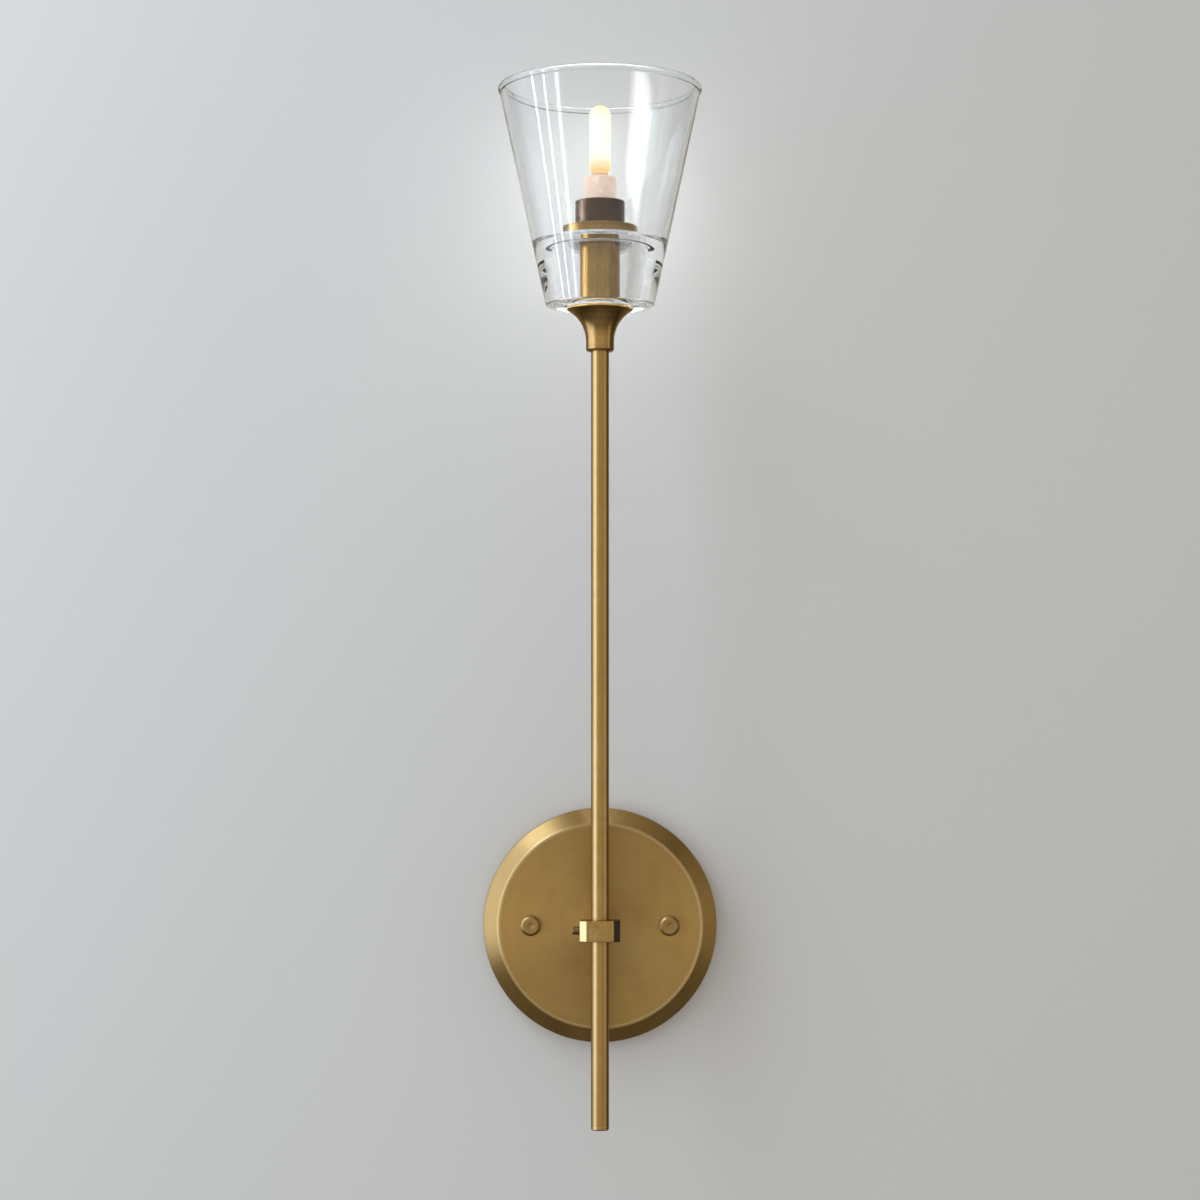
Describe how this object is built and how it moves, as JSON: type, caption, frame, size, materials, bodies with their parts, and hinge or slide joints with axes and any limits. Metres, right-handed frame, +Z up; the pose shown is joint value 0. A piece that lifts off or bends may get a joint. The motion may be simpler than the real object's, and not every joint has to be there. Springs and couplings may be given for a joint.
{
  "type": "torch sconce",
  "caption": "Wall light with a round bevelled plate, a short arm, a long upright brass rod and a clear conical glass shade over a capsule lamp.",
  "frame": {"origin": "on the wall plane, at the middle of the strap's two box-screw slots, which is the centre of the round wall plate", "axes": "+Z up along the rod, +Y into the wall, the front faces -Y"},
  "size_m": [0.15, 0.1363, 0.6541],
  "materials": {
    "aged_brass": "aged, softly brushed",
    "raw_brass": "plain turned",
    "zinc_steel": "zinc plated",
    "green_steel": "green dyed",
    "copper_wire": "green insulation with tinned eyes",
    "clear_glass": "clear, fire polished",
    "frosted_glass": "frosted",
    "pinch_glass": "pressed",
    "silicone": "clear silicone",
    "dark_sleeve": "black, satin",
    "ceramic": "unglazed ceramic",
    "terminal_plastic": "moulded",
    "pin_wire": "nickel",
    "filament_wire": "glowing tungsten",
    "live_insulation": "silicone insulation",
    "neutral_insulation": "silicone insulation"
  },
  "bodies": {
    "fixture": {"mounting_strap": "zinc_steel", "canopy_studs": "zinc_steel", "stud_nuts": "zinc_steel", "backplate": "aged_brass", "arm_tube": "aged_brass", "arm_washer": "zinc_steel", "arm_lock_nut": "raw_brass", "ground_screw": "green_steel", "ground_lead": "copper_wire", "terminal_block": "terminal_plastic", "terminal_screws": "raw_brass", "clamp_block": "aged_brass", "rod_tube": "aged_brass", "rod_end_plug": "aged_brass", "rod_nipple": "raw_brass", "trumpet_cup": "aged_brass", "socket_tube": "aged_brass", "socket_lock_nut": "raw_brass", "lower_gasket": "silicone", "lampholder_sleeve": "dark_sleeve", "ceramic_lampholder": "ceramic", "lampholder_contacts": "raw_brass", "live_lead": "live_insulation", "neutral_lead": "neutral_insulation"},
    "glass": {"glass_shade": "clear_glass", "upper_gasket": "silicone"},
    "ring": {"retaining_ring": "aged_brass"},
    "lamp": {"lamp_envelope": "frosted_glass", "lamp_base": "pinch_glass", "lamp_pins": "pin_wire", "lamp_filament": "filament_wire"},
    "left_cap": {"cap_nut_left": "aged_brass"},
    "right_cap": {"cap_nut_right": "aged_brass"},
    "screw": {"clamp_screw": "aged_brass"}
  },
  "joints": [
    {"name": "glass_lift", "type": "slide", "parent": "fixture", "child": "glass", "axis": [0, 0, 1], "range_m": [0, 0.135]},
    {"name": "ring_lift", "type": "slide", "parent": "glass", "child": "ring", "axis": [0, 0, 1], "range_m": [0, 0.165]},
    {"name": "lamp_pull", "type": "slide", "parent": "fixture", "child": "lamp", "axis": [0, 0, 1], "range_m": [0, 0.09]},
    {"name": "left_cap_turn", "type": "hinge", "parent": "fixture", "child": "left_cap", "pos_m": [-0.04445, -0.0205, 0], "axis": [0, -1, 0], "continuous": true},
    {"name": "right_cap_turn", "type": "hinge", "parent": "fixture", "child": "right_cap", "pos_m": [0.04445, -0.0205, 0], "axis": [0, -1, 0], "continuous": true},
    {"name": "clamp_screw_turn", "type": "hinge", "parent": "fixture", "child": "screw", "pos_m": [-0.0126, -0.072, 0], "axis": [-1, 0, 0], "continuous": true}
  ]
}
